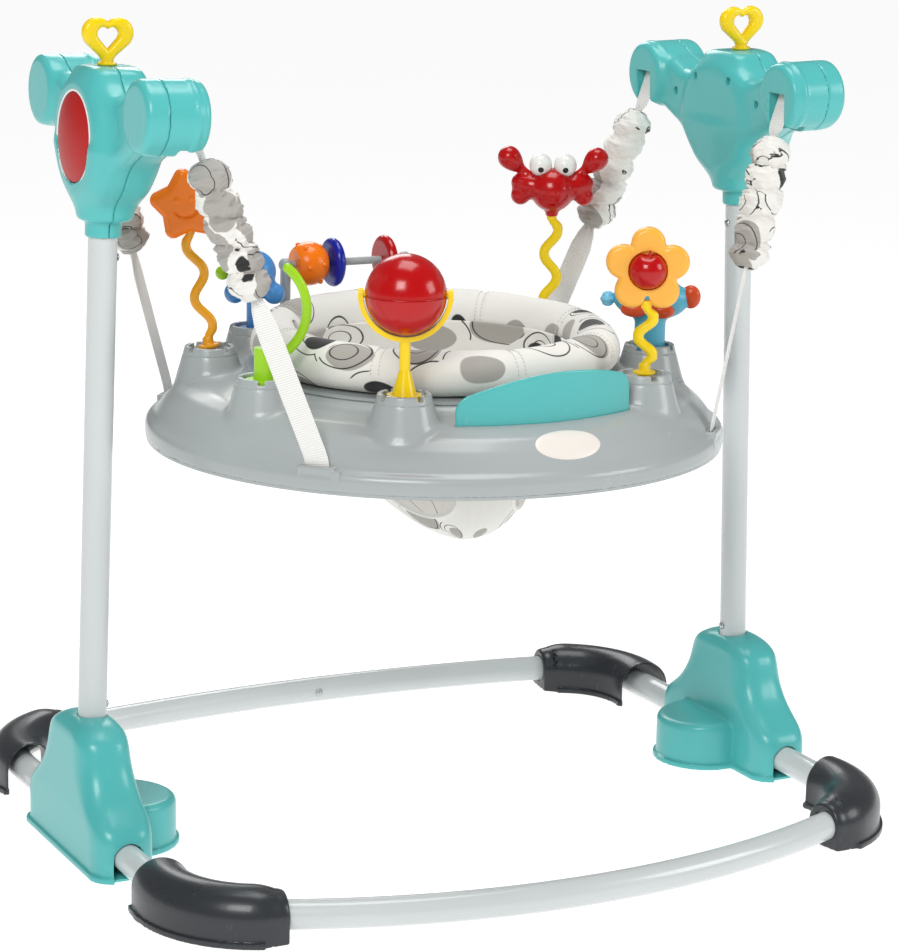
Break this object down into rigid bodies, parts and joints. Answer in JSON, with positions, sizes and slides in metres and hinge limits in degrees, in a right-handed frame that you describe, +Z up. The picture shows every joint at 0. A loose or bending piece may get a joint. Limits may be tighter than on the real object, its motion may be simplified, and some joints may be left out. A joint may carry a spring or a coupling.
{
  "type": "baby jumper frame",
  "caption": "Baby jumper on a bowed floor ring: two teal-headed uprights hang a round toy tray with a swivel fabric seat on sprung straps",
  "frame": {"origin": "bottom centre of the bounding box, on the floor under the seat", "axes": "+X to the right seen from the front, +Y to the rear, +Z up; the front bow of the floor ring is at -Y"},
  "size_m": [0.873, 0.764, 0.8708],
  "materials": {
    "frame_paint": "satin",
    "foot_plastic": "matte",
    "teal_plastic": "matte",
    "steel": "satin",
    "red_plastic": "gloss",
    "yellow_plastic": "gloss",
    "webbing": "woven",
    "print_cloth": "printed weave",
    "grey_plastic": "satin",
    "orange_plastic": "gloss",
    "amber_plastic": "gloss",
    "white_plastic": "gloss",
    "petal_plastic": "satin",
    "lime_plastic": "gloss",
    "blue_plastic": "gloss",
    "navy_plastic": "gloss",
    "plane_plastic": "satin"
  },
  "bodies": {
    "stand": {"front_tube": "frame_paint", "rear_tube_left": "frame_paint", "rear_tube_right": "frame_paint", "side_tube_left": "frame_paint", "side_tube_right": "frame_paint", "foot_front_left": "foot_plastic", "foot_front_right": "foot_plastic", "foot_rear_left": "foot_plastic", "foot_rear_right": "foot_plastic", "leg_base_left": "teal_plastic", "leg_base_right": "teal_plastic", "leg_plates": "teal_plastic", "upright_left": "frame_paint", "upright_right": "frame_paint", "head_stubs": "frame_paint", "frame_screws": "steel", "head_outer_left": "teal_plastic", "head_outer_right": "teal_plastic", "head_inner_left": "teal_plastic", "head_inner_right": "teal_plastic", "head_screws": "steel", "anchor_pins": "steel", "music_module": "foot_plastic", "strap_front_left": "webbing", "strap_front_right": "webbing", "strap_rear_left": "webbing", "strap_rear_right": "webbing", "sleeve_front_left": "print_cloth", "sleeve_front_right": "print_cloth", "sleeve_rear_left": "print_cloth", "sleeve_rear_right": "print_cloth", "suspension_springs": "steel"},
    "tray": {"tray_top": "grey_plastic", "tray_bottom": "grey_plastic", "tray_panel": "teal_plastic", "tray_screws": "steel", "play_bar": "grey_plastic", "rattle_fork": "yellow_plastic"},
    "seat": {"seat_ring": "grey_plastic", "seat_pad": "print_cloth", "seat_bucket": "print_cloth"},
    "rattle": {"rattle_ball": "red_plastic"},
    "roller": {"bumpy_roller": "orange_plastic"},
    "disc_blue": {"blue_disc": "navy_plastic"},
    "disc_red": {"red_disc": "red_plastic"},
    "star": {"star_head": "orange_plastic", "star_stem": "amber_plastic"},
    "crab": {"crab_body": "red_plastic", "crab_eyes": "white_plastic", "crab_stem": "yellow_plastic"},
    "flower": {"flower_head": "petal_plastic", "flower_center": "red_plastic", "flower_stem": "yellow_plastic"},
    "arch": {"play_arch": "lime_plastic"},
    "figure": {"blue_figure": "blue_plastic"},
    "plane": {"toy_plane": "plane_plastic"},
    "press_left": {"button_left": "red_plastic"},
    "press_right": {"button_right": "red_plastic"},
    "loop_left": {"heart_left": "yellow_plastic"},
    "loop_right": {"heart_right": "yellow_plastic"}
  },
  "joints": [
    {"name": "bounce", "type": "slide", "parent": "stand", "child": "tray", "axis": [0, 0, 1], "range_m": [-0.08, 0.05], "stiffness_N_per_m": 1200, "springref_m": 0.03648, "deforming": ["strap_front_left", "strap_front_right", "strap_rear_left", "strap_rear_right", "sleeve_front_left", "sleeve_front_right", "sleeve_rear_left", "sleeve_rear_right", "suspension_springs"]},
    {"name": "seat_swivel", "type": "hinge", "parent": "tray", "child": "seat", "pos_m": [0, 0.019, 0.49], "axis": [0, 0, 1], "continuous": true},
    {"name": "rattle_spin", "type": "hinge", "parent": "tray", "child": "rattle", "pos_m": [-0.13644, -0.18329, 0.608], "axis": [0.891, -0.454, 0], "continuous": true},
    {"name": "roller_spin", "type": "hinge", "parent": "tray", "child": "roller", "pos_m": [-0.046, 0.25119, 0.57], "axis": [1, 0, 0], "continuous": true},
    {"name": "blue_disc_slide", "type": "slide", "parent": "tray", "child": "disc_blue", "axis": [1, 0, 0], "range_m": [-0.005, 0.03]},
    {"name": "red_disc_slide", "type": "slide", "parent": "tray", "child": "disc_red", "axis": [1, 0, 0], "range_m": [-0.022, 0.009]},
    {"name": "star_sway", "type": "hinge", "parent": "tray", "child": "star", "pos_m": [-0.21741, 0.12977, 0.5], "axis": [0.454, 0.891, 0], "range_deg": [-4, 20], "stiffness_Nm_per_rad": 1.2},
    {"name": "crab_sway", "type": "hinge", "parent": "tray", "child": "crab", "pos_m": [0.20915, 0.14467, 0.5], "axis": [0.454, 0.891, 0], "range_deg": [-12, 12], "stiffness_Nm_per_rad": 1.2},
    {"name": "flower_sway", "type": "hinge", "parent": "tray", "child": "flower", "pos_m": [0.14684, -0.17587, 0.5], "axis": [0.454, 0.891, 0], "range_deg": [-12, 12], "stiffness_Nm_per_rad": 1.2},
    {"name": "arch_turn", "type": "hinge", "parent": "tray", "child": "arch", "pos_m": [-0.23334, -0.05234, 0.508], "axis": [0, 0, 1], "range_deg": [-30, 30]},
    {"name": "figure_turn", "type": "hinge", "parent": "tray", "child": "figure", "pos_m": [-0.122, 0.23031, 0.508], "axis": [0, 0, 1], "range_deg": [-45, 45]},
    {"name": "plane_turn", "type": "hinge", "parent": "tray", "child": "plane", "pos_m": [0.23867, -0.03173, 0.508], "axis": [0, 0, 1], "range_deg": [-40, 40]},
    {"name": "button_left_press", "type": "slide", "parent": "stand", "child": "press_left", "axis": [0.9995, 0, -0.0314], "range_m": [0, 0.004], "stiffness_N_per_m": 1500},
    {"name": "button_right_press", "type": "slide", "parent": "stand", "child": "press_right", "axis": [-0.9995, 0, -0.0314], "range_m": [0, 0.004], "stiffness_N_per_m": 1500},
    {"name": "heart_left_turn", "type": "hinge", "parent": "stand", "child": "loop_left", "pos_m": [-0.37497, 0.019, 0.82061], "axis": [0.0314, 0, 0.9995], "range_deg": [-90, 90]},
    {"name": "heart_right_turn", "type": "hinge", "parent": "stand", "child": "loop_right", "pos_m": [0.37497, 0.019, 0.82061], "axis": [-0.0314, 0, 0.9995], "range_deg": [-90, 90]}
  ]
}
